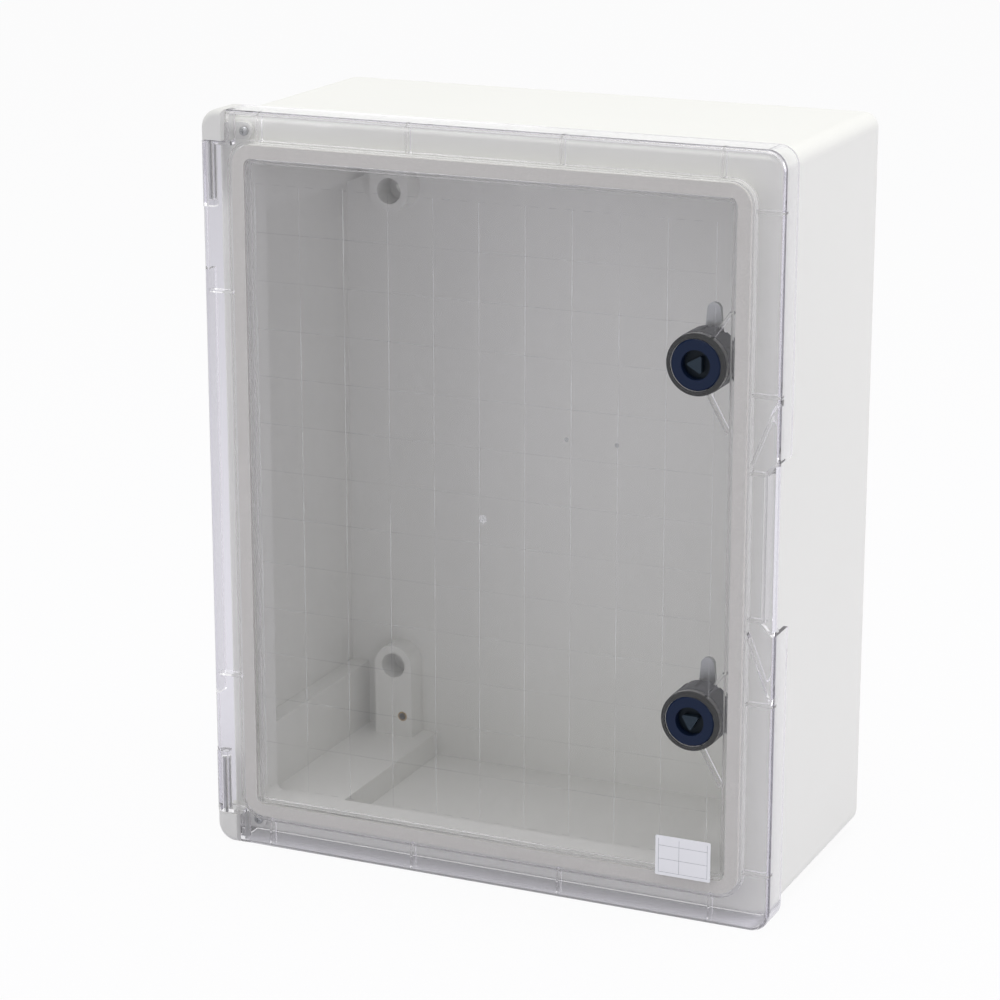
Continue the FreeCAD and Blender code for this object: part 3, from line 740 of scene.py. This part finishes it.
def studio_world(settings):
    """Even light all round, shown as plain white wherever it is seen."""
    world = bpy.data.worlds.new("studio_daylight")
    world.use_nodes = True
    world.node_tree.nodes.clear()
    fill = add_node(world, "ShaderNodeBackground",
                    {"Color": rgba(settings.backdrop), "Strength": settings.daylight})
    white = add_node(world, "ShaderNodeBackground", {"Color": rgba(settings.backdrop), "Strength": 1.0})
    mixed = add_node(world, "ShaderNodeMixShader",
                     {0: seen_directly(world), 1: fill.outputs["Background"],
                      2: white.outputs["Background"]})
    add_node(world, "ShaderNodeOutputWorld", {"Surface": mixed.outputs["Shader"]})
    return world


# Operators

class DressTub(bpy.types.Operator):
    """Gives the tub its matt grey moulding"""
    bl_idname = "enclosure.dress_tub"
    bl_label = "Dress Tub"

    def execute(self, context):
        settings = context.scene.enclosure_tub
        dress("body_shell", matt_grey_polyester("matt_grey_polyester", settings, settings.colour,
                                                settings.shade))
        return {"FINISHED"}


class DressHinges(bpy.types.Operator):
    """Gives the corner hinge blocks and their pins their finish"""
    bl_idname = "enclosure.dress_hinges"
    bl_label = "Dress Hinges"

    def execute(self, context):
        settings = context.scene.enclosure_tub
        fixings = context.scene.enclosure_fixings
        block = matt_grey_polyester("matt_grey_hinge_moulding", settings, settings.hinge,
                                    settings.hinge_shade)
        pin = metal("ground_stainless_steel", fixings.pin, 0.3, fixings.grinding)
        for end in ("top", "bottom"):
            dress("hinge_block_" + end, block)
            dress("hinge_pin_" + end, pin)
        return {"FINISHED"}


class BuildHingeScrews(bpy.types.Operator):
    """Builds the cross-recess screws that hold the hinge blocks"""
    bl_idname = "enclosure.build_hinge_screws"
    bl_label = "Build Hinge Screws"

    def execute(self, context):
        settings = context.scene.enclosure_fixings
        low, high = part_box("hinge_block_screws")
        radius = (high.x - low.x) / 2
        zinc = metal("zinc_plated_steel", settings.zinc, 0.35, settings.tumbling)
        for name, z in (("hinge_screw_top", high.z - radius), ("hinge_screw_bottom", low.z + radius)):
            mesh = screw_with_recess(settings, (low.x + radius, z), radius, low.y,
                                     low.y + settings.head, settings.shank / 2, high.y)
            screw = add_piece(name, mesh, zinc, "enclosure")
            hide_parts("hinge_block_screws")
        return {"FINISHED"}


class DressInserts(bpy.types.Operator):
    """Gives the threaded inserts in the corner bosses their turned brass"""
    bl_idname = "enclosure.dress_inserts"
    bl_label = "Dress Inserts"

    def execute(self, context):
        settings = context.scene.enclosure_fixings
        dress("plate_inserts", metal("turned_brass", settings.insert, 0.3, settings.turning))
        return {"FINISHED"}


class DressDoor(bpy.types.Operator):
    """Makes the door clear"""
    bl_idname = "enclosure.dress_door"
    bl_label = "Dress Door"

    def execute(self, context):
        dress("door_panel", clear_polycarbonate(context.scene.enclosure_door))
        return {"FINISHED"}


class BuildWindowLines(bpy.types.Operator):
    """Builds the cutting lines on the inner face of the window"""
    bl_idname = "enclosure.build_window_lines"
    bl_label = "Build Window Lines"

    def execute(self, context):
        settings = context.scene.enclosure_window
        uprights, crossing = window_lines(settings)
        # Uprights drawn in a painted highlight, cross lines in painted shade
        bright = moulded_line("bright_window_line", settings, settings.bright, settings.painted_highlight_cover)
        dull = moulded_line("dull_window_line", settings, settings.dull, settings.painted_shade_cover)
        add_piece("window_uprights", uprights, bright, "door")
        add_piece("window_cross_lines", crossing, dull, "door")
        return {"FINISHED"}


class BuildWindowMarks(bpy.types.Operator):
    """Builds the gate mark at the middle of the door and two ejector marks beside it"""
    bl_idname = "enclosure.build_window_marks"
    bl_label = "Build Window Marks"

    def execute(self, context):
        settings = context.scene.enclosure_window
        middle = (door_low + door_high) / 2
        face = DOOR_INNER_FACE + AIR_GAP
        gate = bmesh.new()
        profile = [(share * settings.gate / 2, rise * settings.mark_height) for share, rise in GATE_MARK]
        turned(gate, Vector((middle.x, face, middle.z)), INTO_TUB, profile)
        # The gate mark in a painted highlight
        add_piece("window_gate_mark", mesh_from(gate, "window_gate_mark"),
                  moulded_mark("hazed_gate_mark", settings, settings.bright), "door")
        pins = bmesh.new()
        profile = [(share * settings.pin / 2, rise * settings.mark_height) for share, rise in EJECTOR_MARK]
        for across in (settings.first_pin, settings.second_pin):
            centre = Vector((door_low.x + across, face, door_low.z + settings.pin_rise))
            turned(pins, centre, INTO_TUB, profile, segments=24)
        # The ejector marks in painted shade
        add_piece("window_ejector_marks", mesh_from(pins, "window_ejector_marks"),
                  moulded_mark("hazed_ejector_mark", settings, settings.dull), "door")
        return {"FINISHED"}


class DressGasket(bpy.types.Operator):
    """Gives the gasket its poured foam"""
    bl_idname = "enclosure.dress_gasket"
    bl_label = "Dress Gasket"

    def execute(self, context):
        dress("door_gasket", poured_foam(context.scene.enclosure_gasket))
        return {"FINISHED"}


class DressLabel(bpy.types.Operator):
    """Gives the label its white film with a blank table"""
    bl_idname = "enclosure.dress_label"
    bl_label = "Dress Label"

    def execute(self, context):
        settings = context.scene.enclosure_label
        dress("rating_label", ruled_label_film(settings, *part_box("rating_label")))
        return {"FINISHED"}


class DressLocks(bpy.types.Operator):
    """Gives both locks their blue housings, slate cores, seals and zinc-plated cams"""
    bl_idname = "enclosure.dress_locks"
    bl_label = "Dress Locks"

    def execute(self, context):
        settings = context.scene.enclosure_locks
        fixings = context.scene.enclosure_fixings
        well_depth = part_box("upper_lock_rotor")[0].y + settings.post
        finishes = {
            "housing": moulded_polyamide("dark_blue_polyamide", settings, settings.ring, 0.38),
            "nut": moulded_polyamide("charcoal_polyamide", settings, settings.nut, 0.45),
            "rotor": key_polyamide(settings, well_depth),
            "cam": metal("zinc_plated_cam_steel", fixings.zinc, 0.38, fixings.tumbling),
        }
        finishes["head_seal"] = finishes["rotor_seal"] = seal_rubber(fixings)
        finishes["cam_washer"] = finishes["cam_screw"] = finishes["cam"]
        for side in LOCK_SIDES:
            for piece, finish in finishes.items():
                dress(side + "_lock_" + piece, finish)
        return {"FINISHED"}


class SetStage(bpy.types.Operator):
    """Sets the pale floor, the soft studio light and the camera"""
    bl_idname = "enclosure.set_stage"
    bl_label = "Set Stage"

    def execute(self, context):
        settings = context.scene.enclosure_stage
        scene = context.scene
        scene.view_settings.view_transform = "Standard"
        scene.world = studio_world(settings)
        scene.cycles.caustics_refractive = False
        scene.cycles.caustics_reflective = False
        scene.cycles.transparent_max_bounces = CLEAR_LAYERS
        scene.cycles.transmission_bounces = LIGHT_BOUNCES
        scene.cycles.glossy_bounces = LIGHT_BOUNCES
        scene.cycles.max_bounces = LIGHT_BOUNCES

        shape = bmesh.new()
        bmesh.ops.create_grid(shape, x_segments=4, y_segments=4, size=settings.reach)
        floor = bpy.data.objects.new("studio_floor", mesh_from(shape, "studio_floor"))
        floor.data.materials.append(studio_floor(settings))
        floor.location.z = cad_low.z
        scene.collection.objects.link(floor)

        middle = (cad_low + cad_high) / 2
        for name, (place, size) in LAMPS.items():
            soft_lamp(name + "_softbox", place, size, middle, getattr(settings, name))

        camera = bpy.data.cameras.new("product_camera")
        camera.lens = settings.lens
        camera.sensor_width = SENSOR_WIDTH
        holder = bpy.data.objects.new("product_camera", camera)
        holder.location = settings.place
        holder.rotation_euler = (math.pi / 2 - settings.tilt, 0.0, settings.turn)
        scene.collection.objects.link(holder)
        scene.camera = holder
        return {"FINISHED"}


OPERATORS = (DressTub, DressHinges, BuildHingeScrews, DressInserts, DressDoor, BuildWindowLines,
             BuildWindowMarks, DressGasket, DressLabel, DressLocks, SetStage)


class EnclosurePanel(bpy.types.Panel):
    """Lists the enclosure's pieces with their settings"""
    bl_idname = "VIEW3D_PT_enclosure"
    bl_label = "Enclosure"
    bl_space_type = "VIEW_3D"
    bl_region_type = "UI"
    bl_category = "Enclosure"

    def draw(self, context):
        for operator in OPERATORS:
            self.layout.operator(operator.bl_idname)
        for group in SETTINGS:
            box = self.layout.box()
            settings = getattr(context.scene, group)
            for name in settings.bl_rna.properties.keys():
                if name not in ("rna_type", "name"):
                    box.prop(settings, name)


def register():
    for group, kind in SETTINGS.items():
        bpy.utils.register_class(kind)
        setattr(bpy.types.Scene, group, PointerProperty(type=kind))
    for shown in (*OPERATORS, EnclosurePanel):
        bpy.utils.register_class(shown)


def unregister():
    for shown in (EnclosurePanel, *reversed(OPERATORS)):
        bpy.utils.unregister_class(shown)
    for group, kind in reversed(SETTINGS.items()):
        delattr(bpy.types.Scene, group)
        bpy.utils.unregister_class(kind)


def main():
    register()
    for operator in OPERATORS:
        family, call = operator.bl_idname.split(".")
        getattr(getattr(bpy.ops, family), call)()


if __name__ == "__main__":
    main()
